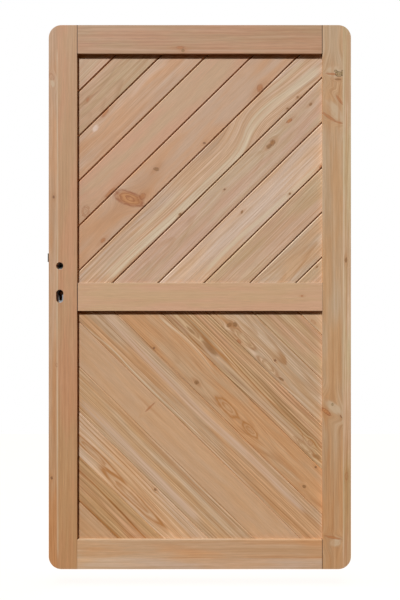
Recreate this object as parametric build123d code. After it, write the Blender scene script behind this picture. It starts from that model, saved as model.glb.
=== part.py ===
from build123d import *
from math import ceil, cos, floor, radians, sin
import os

# A framed garden gate leaf filled with diagonal boards, in softwood. Sizes in millimetres.
# X runs along the leaf: 0 is the edge that takes the hinges, the lock edge is at minus leaf_width.
# Y runs through the leaf: the front face is at minus half of frame_thickness.
# Z runs up: 0 is half the height of the leaf.

# Frame of the leaf
leaf_width = 1000.0
leaf_height = 1800.0
frame_thickness = 45.0
stile_width = 94.0
top_rail_width = 95.0
middle_rail_width = 93.0
bottom_rail_width = 97.0
middle_rail_height = 0.5
corner_radius = 42.0
arris_radius = 1.0

# Blind mortise-and-tenon joints between rails and stiles
tenon_thickness = 15.0
tenon_setback = 17.5
tenon_cheek_clearance = 0.2
tenon_end_clearance = 2.0
mortise_to_lock_wall = 5.0

# Grooves in the frame that house the board ends
housing_depth = 15.0
board_entry = 12.0
board_rattle = 0.5

# Tongue-and-groove boards
board_thickness = 22.0
board_cover_width = 106.8
board_slope = 44.4
board_chamfer = 2.5
tongue_thickness = 7.0
tongue_length = 8.0
tongue_tip_chamfer = 1.0
tongue_side_clearance = 0.2
tongue_end_clearance = 1.0
upper_joint_offset = 39.4
lower_joint_offset = -37.2
upper_shoulder_gap = 2.7
lower_shoulder_gap = 0.2
least_corner_board = 25.0

# Mortise lock: places of its working axes
lock_backset = 36.5
follower_height = 103.5
key_spacing = 90.7
latch_rise = 28.0
dead_bolt_rise = 28.0

# Faceplate let into the edge of the lock stile
faceplate_thickness = 3.0
faceplate_width = 22.0
faceplate_top_margin = 55.0
faceplate_bottom_margin = 62.5
faceplate_fit = 0.2
faceplate_screw_inset = 10.0
faceplate_screw_hole_diameter = 4.5
faceplate_screw_head_diameter = 8.5
cylinder_screw_hole_diameter = 6.5

# Lock case
case_sheet = 1.5
case_tail_clearance = 2.0
case_top_margin = 20.0
case_bottom_margin = 35.0
case_fit = 0.5
follower_boss_diameter = 18.0
follower_boss_fit = 0.3
cylinder_round_diameter = 17.0
cylinder_slot_width = 10.0
cylinder_hole_height = 33.0

# Holes in the front face of the lock stile
spindle_hole_diameter = 24.0
key_hole_width = 24.0
key_hole_height = 44.0

# Bolts
bolt_thickness = 14.0
bolt_side_clearance = 0.5
bolt_hole_clearance = 0.3
latch_height = 28.5
latch_projection = 7.5
latch_tip_width = 2.0
latch_bevel_run = 7.0
latch_head_length = 20.0
latch_tail_height = 8.0
latch_tail_thickness = 4.0
latch_lug_width = 4.0
dead_bolt_height = 32.0
dead_bolt_length = 40.0

# Follower, the nut that a handle spindle turns
spindle_square = 8.2
follower_hub_diameter = 20.0
follower_hub_clearance = 0.3
follower_arm_width = 6.0
follower_arm_reach = 16.0
arm_clearance = 1.2
lug_hub_clearance = 0.5

# Places worked out from the sizes above
half_thickness = frame_thickness / 2
half_height = leaf_height / 2
lock_edge = -leaf_width
stile_inner_faces = (lock_edge + stile_width, -stile_width)
groove_front = -board_thickness / 2
groove_rear = board_thickness / 2 + board_rattle
top_rail_span = (half_height - top_rail_width, half_height)
middle_rail_span = (
    middle_rail_height - middle_rail_width / 2,
    middle_rail_height + middle_rail_width / 2,
)
bottom_rail_span = (-half_height, -half_height + bottom_rail_width)
upper_field = (middle_rail_span[1], top_rail_span[0])
lower_field = (bottom_rail_span[1], middle_rail_span[0])
rail_spans = (top_rail_span, middle_rail_span, bottom_rail_span)

follower_x = lock_edge + lock_backset
key_height = follower_height - key_spacing
latch_level = follower_height + latch_rise
dead_bolt_level = key_height + dead_bolt_rise
faceplate_back = lock_edge + faceplate_thickness
faceplate_span = (key_height - faceplate_bottom_margin, latch_level + faceplate_top_margin)
case_room = bolt_thickness + 2 * bolt_side_clearance
case_half = case_room / 2 + case_sheet
lug_left = follower_x + follower_arm_width / 2 + arm_clearance
lug_right = lug_left + latch_lug_width
case_rear = lug_right + latch_projection + case_tail_clearance + case_sheet
case_span = (key_height - case_bottom_margin, latch_level + case_top_margin)
pocket_rear = case_rear + case_fit
mortise_depth = stile_inner_faces[0] - pocket_rear - mortise_to_lock_wall
tenon_length = mortise_depth - tenon_end_clearance


def block(x_span, y_span, z_span):
    """A plain rectangular solid between two limits on each axis."""
    corner = (x_span[0], y_span[0], z_span[0])
    size = (x_span[1] - x_span[0], y_span[1] - y_span[0], z_span[1] - z_span[0])
    return Pos(*corner) * Box(*size, align=(Align.MIN, Align.MIN, Align.MIN))


def cross_cylinder(x, z, diameter, y_span):
    """A round bar lying along Y, centred on (x, z)."""
    middle = (y_span[0] + y_span[1]) / 2
    bar = Cylinder(diameter / 2, y_span[1] - y_span[0], rotation=(90, 0, 0))
    return Pos(x, middle, z) * bar


def edge_cylinder(z, diameter, x_span):
    """A round bar lying along X, centred on the thickness of the leaf."""
    middle = (x_span[0] + x_span[1]) / 2
    bar = Cylinder(diameter / 2, x_span[1] - x_span[0], rotation=(0, 90, 0))
    return Pos(middle, 0, z) * bar


def ease_arrises(member):
    """Round the arrises all round the front and rear faces of a frame member."""
    ordered = member.faces().sort_by(Axis.Y)
    return fillet(ordered[0].edges() + ordered[-1].edges(), arris_radius)


def plain_member(x_span, z_span):
    """A planed member of the frame before joints and grooves are cut in it."""
    return ease_arrises(block(x_span, (-half_thickness, half_thickness), z_span))


def tenon_span(rail_span):
    """Height of the tenon within a rail, clear of the grooves on both its edges."""
    return (rail_span[0] + tenon_setback, rail_span[1] - tenon_setback)


def rail(rail_span, grooves):
    """A rail with a tenon at each end and a groove along each edge that meets boards."""
    left, right = stile_inner_faces
    member = plain_member((left, right), rail_span)
    half_tenon = tenon_thickness / 2
    tenons = block(
        (left - tenon_length, right + tenon_length),
        (-half_tenon, half_tenon),
        tenon_span(rail_span),
    )
    member = member + tenons
    for groove_span in grooves:
        member = member - block((left, right), (groove_front, groove_rear), groove_span)
    return member


def stile(outer, inner):
    """A full-height stile with its two outer corners rounded, grooved and mortised."""
    x_span = (min(outer, inner), max(outer, inner))
    blank = block(x_span, (-half_thickness, half_thickness), (-half_height, half_height))
    outer_corners = blank.edges().filter_by(Axis.Y).filter_by(
        lambda edge: abs(edge.center().X - outer) < arris_radius
    )
    member = ease_arrises(fillet(outer_corners, corner_radius))
    into = 1 if outer > inner else -1
    groove_floor = inner + into * housing_depth
    groove_x = (min(inner, groove_floor), max(inner, groove_floor))
    for field in (upper_field, lower_field):
        run = (field[0] - housing_depth, field[1] + housing_depth)
        member = member - block(groove_x, (groove_front, groove_rear), run)
    mortise_floor = inner + into * mortise_depth
    mortise_x = (min(inner, mortise_floor), max(inner, mortise_floor))
    half_mortise = tenon_thickness / 2 + tenon_cheek_clearance
    for rail_span in rail_spans:
        low, high = tenon_span(rail_span)
        mortise_z = (low - tenon_cheek_clearance, high + tenon_cheek_clearance)
        member = member - block(mortise_x, (-half_mortise, half_mortise), mortise_z)
    return member


def upright_slot(x, top, width, height, y_span):
    """A bar along Y with an upright round-ended section, given by its top."""
    section = SlotOverall(height, width, rotation=90)
    plane = Plane(origin=(x, y_span[0], top - height / 2), x_dir=(1, 0, 0), z_dir=(0, 1, 0))
    return extrude(plane * section, amount=y_span[1] - y_span[0])


def round_ended_plate(x_span, width, z_span):
    """A flat plate across X with round ends, centred on the thickness of the leaf."""
    section = SlotOverall(z_span[1] - z_span[0], width)
    middle = (z_span[0] + z_span[1]) / 2
    plane = Plane(origin=(x_span[0], 0, middle), x_dir=(0, 0, 1), z_dir=(1, 0, 0))
    return extrude(plane * section, amount=x_span[1] - x_span[0])


def lock_recesses():
    """What is cut from the lock stile for the faceplate, the case, the spindle and the key.

    The spindle and key holes enter from the front face and end in the pocket of the case.
    """
    front_half = (-half_thickness, 0)
    rebate_z = (faceplate_span[0] - faceplate_fit, faceplate_span[1] + faceplate_fit)
    rebate_width = faceplate_width + 2 * faceplate_fit
    rebate = round_ended_plate((lock_edge, faceplate_back), rebate_width, rebate_z)
    half_pocket = case_half + case_fit
    pocket_z = (case_span[0] - case_fit, case_span[1] + case_fit)
    pocket = block((faceplate_back, pocket_rear), (-half_pocket, half_pocket), pocket_z)
    spindle_hole = cross_cylinder(follower_x, follower_height, spindle_hole_diameter, front_half)
    key_hole_top = key_height + key_hole_width / 2
    key_hole = upright_slot(follower_x, key_hole_top, key_hole_width, key_hole_height, front_half)
    return [rebate, pocket, spindle_hole, key_hole]


def lock_stile():
    member = stile(lock_edge, stile_inner_faces[0])
    for recess in lock_recesses():
        member = member - recess
    return member


def board_section(lower, upper, lower_joint, upper_joint, shoulder_gap):
    """Outline of one board across its length, with a groove below and a tongue above.

    The outline lies in (u, v): u runs up across the boards, v through the thickness.
    An edge with no joint is the sawn edge of a corner board, hidden in the frame.
    """
    half = board_thickness / 2
    half_tongue = tongue_thickness / 2
    half_slot = half_tongue + tongue_side_clearance
    slot_depth = tongue_length - shoulder_gap + tongue_end_clearance
    outline = []
    if upper_joint:
        tip = upper + tongue_length
        outline += [
            (upper - board_chamfer, -half),
            (upper, -half + board_chamfer),
            (upper, -half_tongue),
            (tip - tongue_tip_chamfer, -half_tongue),
            (tip, -half_tongue + tongue_tip_chamfer),
            (tip, half_tongue - tongue_tip_chamfer),
            (tip - tongue_tip_chamfer, half_tongue),
            (upper, half_tongue),
            (upper, half - board_chamfer),
            (upper - board_chamfer, half),
        ]
    else:
        outline += [(upper, -half), (upper, half)]
    if lower_joint:
        outline += [
            (lower + board_chamfer, half),
            (lower, half - board_chamfer),
            (lower, half_slot),
            (lower + slot_depth, half_slot),
            (lower + slot_depth, -half_slot),
            (lower, -half_slot),
            (lower, -half + board_chamfer),
            (lower + board_chamfer, -half),
        ]
    else:
        outline += [(lower, half), (lower, -half)]
    return make_face(Polyline(*outline, close=True))


def board_field(name, field, rising, joint_offset, shoulder_gap):
    """All the boards of one field, from its highest corner to its lowest.

    The boards rise to the right where rising is 1 and fall to the right where it is -1.
    joint_offset is how far one joint line lies above the centre of the field, and
    shoulder_gap is how far the boards have shrunk apart there.
    """
    left, right = stile_inner_faces
    centre_x = (left + right) / 2
    centre_z = (field[0] + field[1]) / 2
    half_x = (right - left) / 2 + board_entry
    half_z = (field[1] - field[0]) / 2 + board_entry
    slope = radians(board_slope)
    along = (cos(slope), 0, rising * sin(slope))
    across = (-rising * sin(slope), 0, cos(slope))
    reach = half_x * sin(slope) + half_z * cos(slope)
    run = half_x * cos(slope) + half_z * sin(slope)
    first = ceil((least_corner_board - reach - joint_offset) / board_cover_width)
    last = floor((reach - least_corner_board - joint_offset) / board_cover_width)
    joints = [joint_offset + index * board_cover_width for index in range(first, last + 1)]
    joints.reverse()
    opening = block(
        (centre_x - half_x, centre_x + half_x),
        (-frame_thickness, frame_thickness),
        (centre_z - half_z, centre_z + half_z),
    )
    section_plane = Plane(origin=(centre_x, 0, centre_z), x_dir=across, z_dir=along)
    half_gap = shoulder_gap / 2
    boards = {}
    for number in range(len(joints) + 1):
        has_upper = number > 0
        has_lower = number < len(joints)
        if has_upper:
            upper = joints[number - 1] - half_gap
            lower = joints[number] + half_gap if has_lower else upper + half_gap - board_cover_width
        else:
            lower = joints[number] + half_gap
            upper = joints[number] + board_cover_width
        outline = board_section(lower, upper, has_lower, has_upper, shoulder_gap)
        long_board = extrude(section_plane * outline, amount=run, both=True)
        boards[f"{name}_{number + 1:02d}"] = long_board & opening
    return boards


def bolt_opening(level, height):
    """The hole in the faceplate for one bolt."""
    half_y = bolt_thickness / 2 + bolt_hole_clearance
    half_z = height / 2 + bolt_hole_clearance
    return block((lock_edge, faceplate_back), (-half_y, half_y), (level - half_z, level + half_z))


def lock_faceplate():
    """Flat steel faceplate with round ends, two bolt openings and three screw holes."""
    plate = round_ended_plate((lock_edge, faceplate_back), faceplate_width, faceplate_span)
    plate = plate - bolt_opening(latch_level, latch_height)
    plate = plate - bolt_opening(dead_bolt_level, dead_bolt_height)
    plate_x = (lock_edge, faceplate_back)
    plate = plate - edge_cylinder(key_height, cylinder_screw_hole_diameter, plate_x)
    for level in (faceplate_span[0] + faceplate_screw_inset, faceplate_span[1] - faceplate_screw_inset):
        plate = plate - edge_cylinder(level, faceplate_screw_hole_diameter, plate_x)
        sink_depth = (faceplate_screw_head_diameter - faceplate_screw_hole_diameter) / 2
        sink = Cone(
            faceplate_screw_hole_diameter / 2,
            faceplate_screw_head_diameter / 2,
            sink_depth,
            rotation=(0, -90, 0),
        )
        plate = plate - Pos(lock_edge + sink_depth / 2, 0, level) * sink
    return plate


def case_holes(y_span):
    """The round follower hole and the key-cylinder hole through one side of the lock case."""
    boss_hole = follower_boss_diameter + 2 * follower_boss_fit
    round_hole = cross_cylinder(follower_x, key_height, cylinder_round_diameter, y_span)
    top = key_height + cylinder_round_diameter / 2
    slot = upright_slot(follower_x, top, cylinder_slot_width, cylinder_hole_height, y_span)
    return [
        cross_cylinder(follower_x, follower_height, boss_hole, y_span),
        round_hole + slot,
    ]


def lock_case():
    """Pressed-steel tray: the rear side of the lock with its rim, open to the front."""
    body = block((faceplate_back, case_rear), (-case_half + case_sheet, case_half), case_span)
    room = block(
        (faceplate_back, case_rear - case_sheet),
        (-case_half + case_sheet, case_half - case_sheet),
        (case_span[0] + case_sheet, case_span[1] - case_sheet),
    )
    body = body - room
    for hole in case_holes((case_half - case_sheet, case_half)):
        body = body - hole
    return body


def lock_case_cover():
    """Flat cover that closes the front of the tray."""
    cover_y = (-case_half, -case_half + case_sheet)
    cover = block((faceplate_back, case_rear), cover_y, case_span)
    for hole in case_holes(cover_y):
        cover = cover - hole
    return cover


def latch_bolt():
    """Spring latch: a head bevelled on its rear side and a tail that the follower draws back."""
    half_bolt = bolt_thickness / 2
    tip = lock_edge - latch_projection
    heel = tip + latch_head_length
    outline = Polyline(
        (heel, -half_bolt),
        (tip, -half_bolt),
        (tip, -half_bolt + latch_tip_width),
        (tip + latch_bevel_run, half_bolt),
        (heel, half_bolt),
        close=True,
    )
    head_bottom = latch_level - latch_height / 2
    head = Pos(0, 0, head_bottom) * extrude(make_face(outline), amount=latch_height)
    lug_bottom = follower_height + follower_hub_diameter / 2 + lug_hub_clearance
    half_tail = latch_tail_thickness / 2
    tail_y = (-half_tail, half_tail)
    tail_z = (latch_level - latch_tail_height / 2, latch_level + latch_tail_height / 2)
    tail = block((heel, lug_right), tail_y, tail_z)
    lug = block((lug_left, lug_right), tail_y, (lug_bottom, tail_z[0]))
    return head + tail + lug


def dead_bolt():
    """Dead bolt drawn fully back: its end flush with the faceplate, its body on the tray."""
    half_bolt = bolt_thickness / 2
    bolt_z = (dead_bolt_level - dead_bolt_height / 2, dead_bolt_level + dead_bolt_height / 2)
    end = block((lock_edge, faceplate_back), (-half_bolt, half_bolt), bolt_z)
    body_x = (faceplate_back, lock_edge + dead_bolt_length)
    return end + block(body_x, (-half_bolt, case_room / 2), bolt_z)


def follower():
    """The nut of the lock: a hub with an arm, turning in both sides of the case."""
    boss = cross_cylinder(
        follower_x, follower_height, follower_boss_diameter, (-case_half, case_half)
    )
    half_hub = case_room / 2 - follower_hub_clearance
    hub_y = (-half_hub, half_hub)
    hub = cross_cylinder(follower_x, follower_height, follower_hub_diameter, hub_y)
    half_arm = follower_arm_width / 2
    arm = block(
        (follower_x - half_arm, follower_x + half_arm),
        hub_y,
        (follower_height, follower_height + follower_arm_reach),
    )
    half_square = spindle_square / 2
    square_hole = block(
        (follower_x - half_square, follower_x + half_square),
        (-case_half, case_half),
        (follower_height - half_square, follower_height + half_square),
    )
    return boss + hub + arm - square_hole


nodes = {
    "lock_stile": lock_stile(),
    "hinge_stile": stile(0.0, stile_inner_faces[1]),
    "top_rail": rail(top_rail_span, [(top_rail_span[0], top_rail_span[0] + housing_depth)]),
    "middle_rail": rail(
        middle_rail_span,
        [
            (middle_rail_span[0], middle_rail_span[0] + housing_depth),
            (middle_rail_span[1] - housing_depth, middle_rail_span[1]),
        ],
    ),
    "bottom_rail": rail(
        bottom_rail_span, [(bottom_rail_span[1] - housing_depth, bottom_rail_span[1])]
    ),
    "lock_faceplate": lock_faceplate(),
    "lock_case": lock_case(),
    "lock_case_cover": lock_case_cover(),
    "latch_bolt": latch_bolt(),
    "dead_bolt": dead_bolt(),
    "follower": follower(),
}
nodes.update(board_field("upper_board", upper_field, 1, upper_joint_offset, upper_shoulder_gap))
nodes.update(board_field("lower_board", lower_field, -1, lower_joint_offset, lower_shoulder_gap))

for node_name, shape in nodes.items():
    export_step(shape, f"parts/{node_name}.step")
    size = shape.bounding_box().size
    print(f"{node_name}: {size.X:.1f} x {size.Y:.1f} x {size.Z:.1f} mm")
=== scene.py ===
# %% [markdown]
# # A framed wooden garden gate leaf
#
# The leaf is planed softwood: two stiles, three rails and two fields of diagonal tongue-and-groove boards,
# with a mortise lock in the left stile. The CAD model already holds every piece of timber and steel at its
# real size. This script gives each piece of wood its own growth rings and knots, plates the steel, drives
# the screws of the lock, and sets up the studio in which the leaf is seen from its front.

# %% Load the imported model
from collections import namedtuple
from math import pi, radians

import bpy
from mathutils import Euler, Matrix, Vector


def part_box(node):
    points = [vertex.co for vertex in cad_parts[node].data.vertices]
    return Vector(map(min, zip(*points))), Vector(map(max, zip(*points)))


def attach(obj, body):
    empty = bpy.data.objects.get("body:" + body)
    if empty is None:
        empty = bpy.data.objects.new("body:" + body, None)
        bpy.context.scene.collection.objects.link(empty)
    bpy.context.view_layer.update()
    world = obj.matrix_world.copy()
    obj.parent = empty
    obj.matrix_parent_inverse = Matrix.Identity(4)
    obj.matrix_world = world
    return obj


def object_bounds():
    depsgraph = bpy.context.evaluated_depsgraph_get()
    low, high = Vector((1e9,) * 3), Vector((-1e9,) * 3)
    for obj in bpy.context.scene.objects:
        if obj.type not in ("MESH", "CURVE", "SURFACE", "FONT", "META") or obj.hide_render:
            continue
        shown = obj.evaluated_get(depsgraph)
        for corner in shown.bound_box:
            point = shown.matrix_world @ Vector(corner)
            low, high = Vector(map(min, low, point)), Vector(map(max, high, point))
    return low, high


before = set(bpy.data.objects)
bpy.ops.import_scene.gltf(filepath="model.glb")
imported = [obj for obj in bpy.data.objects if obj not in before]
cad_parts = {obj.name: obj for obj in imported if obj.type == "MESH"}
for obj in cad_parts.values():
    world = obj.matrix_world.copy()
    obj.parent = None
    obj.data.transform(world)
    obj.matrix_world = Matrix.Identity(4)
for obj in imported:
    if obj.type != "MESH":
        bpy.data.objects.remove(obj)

cad_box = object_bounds()
scene = bpy.context.scene
millimetre = 0.001
print(len(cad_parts), "nodes; the leaf measures",
      [round(size / millimetre) for size in cad_box[1] - cad_box[0]], "mm")

# %% [markdown]
# ## The camera
#
# The photograph looks at the leaf squarely, with the eye level with its middle. It was taken from about two
# steps away: the dark band under the top rail is wider than the one under the middle rail, because there
# the eye also sees a little of the rail's underside. The lens then follows from how many pixels a metre
# takes.

# %% Place the camera by the photograph
PHOTO_WIDTH, PHOTO_HEIGHT = 400, 600
PIXELS_PER_METRE = 302.4
LEAF_MIDDLE_PIXEL = (199.85, 297.1)
camera_distance = 1.8
sensor_long_side = 36.0

leaf_low, leaf_high = cad_box
front = leaf_low.y
middle_x = (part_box("lock_stile")[0].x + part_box("hinge_stile")[1].x) / 2
middle_z = (leaf_low.z + leaf_high.z) / 2


def place_in_photo(pixel, depth=0.0):
    """The point that a pixel of the photograph shows, at a depth behind the leaf's front plane."""
    across = (pixel[0] - LEAF_MIDDLE_PIXEL[0]) / PIXELS_PER_METRE
    up = (LEAF_MIDDLE_PIXEL[1] - pixel[1]) / PIXELS_PER_METRE
    spread = 1 + depth / camera_distance
    return Vector((middle_x + across * spread, front + depth, middle_z + up * spread))


def stand(name, data):
    """Puts an object with this data in the scene."""
    made = bpy.data.objects.new(name, data)
    scene.collection.objects.link(made)
    return made


camera_data = bpy.data.cameras.new("camera")
camera_data.sensor_width = sensor_long_side
camera_data.lens = sensor_long_side * camera_distance / (PHOTO_HEIGHT / PIXELS_PER_METRE)
camera = stand("camera", camera_data)
eye = place_in_photo((PHOTO_WIDTH / 2, PHOTO_HEIGHT / 2))
camera.location = eye + Vector((0, -camera_distance, 0))
camera.rotation_euler = (radians(90), 0, 0)
scene.camera = camera
print("lens", round(camera_data.lens, 1), "mm at", [round(c, 3) for c in camera.location])

# %% [markdown]
# ## Colours and nodes
#
# Colours are written as the hex values that a colour picker shows. The renderer works in linear light, so
# one function turns them. A second one adds a node with its settings and its links, because a material is
# easiest to read as a list of such calls. The nodes that come up often get a plain word each.

# %% Small helpers for materials
FLOAT, VECTOR, COLOUR = "NodeSocketFloat", "NodeSocketVector", "NodeSocketColor"
WHITE = (1.0, 1.0, 1.0, 1.0)

# The words for nodes. A ramp takes a value, the ends of its range and what they become; a blend its amount
# and two colours; noise its place, seed, scale, detail and roughness.
CHOICES = {
    ("ShaderNodeMath", "operation"): {
        "plus": "ADD", "minus": "SUBTRACT", "times": "MULTIPLY", "over": "DIVIDE", "fraction": "FRACT",
        "absolute": "ABSOLUTE"},
    ("ShaderNodeVectorMath", "operation"): {
        "vector plus": "ADD", "vector minus": "SUBTRACT", "vector times": "MULTIPLY", "vector over": "DIVIDE",
        "scale": "SCALE", "length": "LENGTH"},
    ("ShaderNodeMapRange", "interpolation_type"): {
        "ramp": "SMOOTHSTEP", "softer ramp": "SMOOTHERSTEP", "straight ramp": "LINEAR"},
    ("ShaderNodeMix", "data_type"): {"blend": "RGBA"},
    ("ShaderNodeTexNoise", "noise_dimensions"): {"noise": "4D"},
}
WORDS = {word: (kind, {setting: choice}) for (kind, setting), choices in CHOICES.items()
         for word, choice in choices.items()}
WORDS.update({"split": ("ShaderNodeSeparateXYZ", {}), "join": ("ShaderNodeCombineXYZ", {}),
              "group": ("ShaderNodeGroup", {}), "coordinates": ("ShaderNodeTexCoord", {})})


def linear(hex_colour):
    """An sRGB hex value as a linear colour with full alpha."""
    channels = [int(hex_colour[i:i + 2], 16) / 255 for i in (0, 2, 4)]
    return tuple(c / 12.92 if c <= 0.04045 else ((c + 0.055) / 1.055) ** 2.4 for c in channels) + (1.0,)


def add(tree, word, *values, **settings):
    """Adds a node with its settings, fills or links its inputs, and returns its first live output.

    The word is one of WORDS or the name that Blender gives the node. The values go to its live inputs in
    their order, or to the inputs that a dict names.
    """
    kind, usual = WORDS.get(word, (word, {}))
    made = tree.nodes.new(kind)
    for name, value in {**usual, **settings}.items():
        setattr(made, name, value)
    sockets = [socket for socket in made.inputs if socket.enabled]
    if values and isinstance(values[0], dict):
        sockets, values = [made.inputs[name] for name in values[0]], values[0].values()
    for socket, value in zip(sockets, values):
        if isinstance(value, bpy.types.NodeSocket):
            tree.links.new(value, socket)
        else:
            socket.default_value = value
    return next((output for output in made.outputs if output.enabled), None)


def new_group(name, inputs, outputs, kind="ShaderNodeTree"):
    """A node group with named sockets; returns the tree and what it is given."""
    group = bpy.data.node_groups.new(name, kind)
    for way, sockets in (("INPUT", inputs), ("OUTPUT", outputs)):
        for socket, socket_type in sockets.items():
            group.interface.new_socket(name=socket, in_out=way, socket_type=socket_type)
    return group, add(group, "NodeGroupInput").node.outputs


print(len(WORDS), "words for nodes; middle grey is", round(linear("808080")[0], 3))

# %% [markdown]
# ## Growth rings
#
# A softwood board shows its tree: pale early wood and a darker line of late wood for each year, in
# cylinders round the heart of the log. Painted stripes look wrong on the ends and edges of a board. Rings
# worked out in three dimensions from a log's axis give straight lines, flames and end-grain arcs from one
# rule. Every place is in the board's own axes: along the grain, through the board, and across.

# %% The group that grows rings round the heart of a log
LOG = {"Place": VECTOR, "Heart": VECTOR, "Lean": VECTOR, "Ring Width": FLOAT, "Wander": FLOAT, "Seed": FLOAT}
LATE_WOOD_STARTS, LATE_WOOD_ENDS = (0.42, 0.84), (0.90, 0.98)
quick_wander = 2.2 * millimetre
# Waves a metre along, through and across the board.
SLOW_WAVES, QUICK_WAVES = (2.3, 5.0, 7.0), (14.0, 90.0, 90.0)


def hill(tree, value, rise, fall):
    """1 between two ranges of a value: it grows from 0 over the first and falls back over the second."""
    return add(tree, "times", add(tree, "ramp", value, *rise), add(tree, "ramp", value, *fall, 1.0, 0.0))


def log_rings_group():
    """Late wood from 0 to 1, from the distance to the heart of a log that wanders along its length."""
    tree, given = new_group("rings of a log", LOG, {"Late Wood": FLOAT, "Across": FLOAT})
    place = add(tree, "split", given["Place"]).node.outputs
    heart = add(tree, "vector plus", given["Heart"], add(tree, "scale", given["Lean"], place["X"]))

    long_waves = add(tree, "vector times", given["Place"], SLOW_WAVES)
    slow = add(tree, "minus", add(tree, "noise", long_waves, given["Seed"], 1.0, 1.5, 0.45), 0.5)
    slow = add(tree, "times", slow, given["Wander"])
    short_waves = add(tree, "vector times", given["Place"], QUICK_WAVES)
    quick = add(tree, "minus", add(tree, "noise", short_waves, given["Seed"], 1.0), 0.5)
    quick = add(tree, "times", quick, quick_wander)

    offset = add(tree, "vector minus", given["Place"], heart)
    radius = add(tree, "length", add(tree, "vector times", offset, (0.0, 1.0, 1.0)))
    radius = add(tree, "plus", add(tree, "plus", radius, slow), quick)
    years = add(tree, "over", radius, given["Ring Width"])
    late = hill(tree, add(tree, "fraction", years), LATE_WOOD_STARTS, LATE_WOOD_ENDS)
    year_seed = add(tree, "plus", add(tree, "times", years, 0.43), given["Seed"])
    good_years = add(tree, "noise", year_seed, 1.0, 1.0, noise_dimensions="1D")
    late = add(tree, "times", late, add(tree, "straight ramp", good_years, 0.35, 0.65, 0.2, 1.0))
    add(tree, "NodeGroupOutput", {"Late Wood": late, "Across": add(tree, "plus", place["Z"], slow)})
    return tree


log_rings = log_rings_group()
print("log rings:", len(log_rings.nodes), "nodes")

# %% [markdown]
# ## Knots
#
# A knot is a branch that the board was sawn through. The trunk's fibres part round it, and the branch
# itself shows as an uneven oval of redder wood, its rim broken and dark. One group bends the board's
# coordinates round the oval before the rings are drawn, so that the grain flows past it. The other lays the
# branch over the finished wood. Its outline is bent by noise that scales with the knot, because a clean
# oval looks like a sticker.

# %% The two groups of a knot
KNOT_PLACE = {"Place": VECTOR, "Centre": VECTOR, "Half Size": VECTOR, "Turn": FLOAT}
raggedness = 0.9
HALO_SHAPE = (0.45, 0.0, 1.0)


def knot_axes(tree, given):
    """The place in the knot's own turned axes, 1 at its rim."""
    offset = add(tree, "vector minus", given["Place"], given["Centre"])
    offset = add(tree, "vector times", offset, (1.0, 0.0, 1.0))
    offset = add(tree, "ShaderNodeVectorRotate", {"Vector": offset, "Angle": given["Turn"]},
                 rotation_type="Y_AXIS")
    return add(tree, "vector over", offset, given["Half Size"])


def parted_grain_group():
    """Presses the place towards the knot, so that rings drawn afterwards bulge out round it."""
    tree, given = new_group("grain parting round a knot", {**KNOT_PLACE, "Parting": FLOAT}, {"Place": VECTOR})
    distance = add(tree, "length", knot_axes(tree, given))
    near = add(tree, "softer ramp", distance, 0.3, 4.0, 1.0, 0.0)
    near = add(tree, "times", near, given["Parting"])
    offset = add(tree, "vector minus", given["Centre"], given["Place"])
    offset = add(tree, "vector times", offset, (0.0, 0.0, 1.0))
    shift = add(tree, "scale", offset, near)
    add(tree, "NodeGroupOutput", {"Place": add(tree, "vector plus", given["Place"], shift)})
    return tree


def branch_group():
    """Lays the branch over the wood: a warm halo along the grain, the blotchy core and the broken rim."""
    colours = dict.fromkeys(("Colour", "Core Colour", "Rim Colour", "Halo Colour"), COLOUR)
    amounts = dict.fromkeys(("Core", "Rim", "Halo", "Years", "Seed"), FLOAT)
    tree, given = new_group("branch in a board", {**KNOT_PLACE, **colours, **amounts}, {"Colour": COLOUR})
    local = knot_axes(tree, given)
    ragged = add(tree, "noise", local, given["Seed"], 1.1, 3.0, 0.6).node.outputs["Color"]
    ragged = add(tree, "vector minus", ragged, (0.5, 0.5, 0.5))
    distance = add(tree, "length", add(tree, "vector plus", local, add(tree, "scale", ragged, raggedness)))
    blotch = add(tree, "noise", local, add(tree, "plus", given["Seed"], 7.0), 1.8, 3.0, 0.6)

    drawn = add(tree, "vector minus", given["Place"], given["Centre"])
    drawn = add(tree, "vector times", drawn, HALO_SHAPE)
    drawn = add(tree, "length", add(tree, "vector over", drawn, given["Half Size"]))
    halo = add(tree, "times", add(tree, "softer ramp", drawn, 0.3, 2.4, 1.0, 0.0), given["Halo"])
    colour = add(tree, "blend", halo, given["Colour"], given["Halo Colour"])

    core = add(tree, "times", add(tree, "ramp", distance, 0.6, 1.1, 1.0, 0.0), given["Core"])
    dark_patches = add(tree, "ramp", blotch, 0.48, 0.72, 0.0, 0.7)
    uneven = add(tree, "blend", dark_patches, given["Core Colour"], given["Rim Colour"])
    colour = add(tree, "blend", core, colour, uneven)

    season = add(tree, "fraction", add(tree, "times", distance, given["Years"]))
    year = hill(tree, season, (0.35, 0.85), (0.88, 1.0))
    year = add(tree, "times", year, add(tree, "ramp", distance, 0.95, 1.15, 0.8, 0.0))
    colour = add(tree, "blend", add(tree, "times", year, given["Rim"]), colour, given["Rim Colour"])

    rim = hill(tree, distance, (0.62, 0.95), (0.95, 1.3))
    rim = add(tree, "times", rim, add(tree, "ramp", blotch, 0.35, 0.6, 0.25, 1.0))
    rim = add(tree, "times", rim, given["Rim"])
    add(tree, "NodeGroupOutput", {"Colour": add(tree, "blend", rim, colour, given["Rim Colour"])})
    return tree


parted_grain = parted_grain_group()
branch = branch_group()
print("knot groups:", len(parted_grain.nodes), "and", len(branch.nodes), "nodes")

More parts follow.
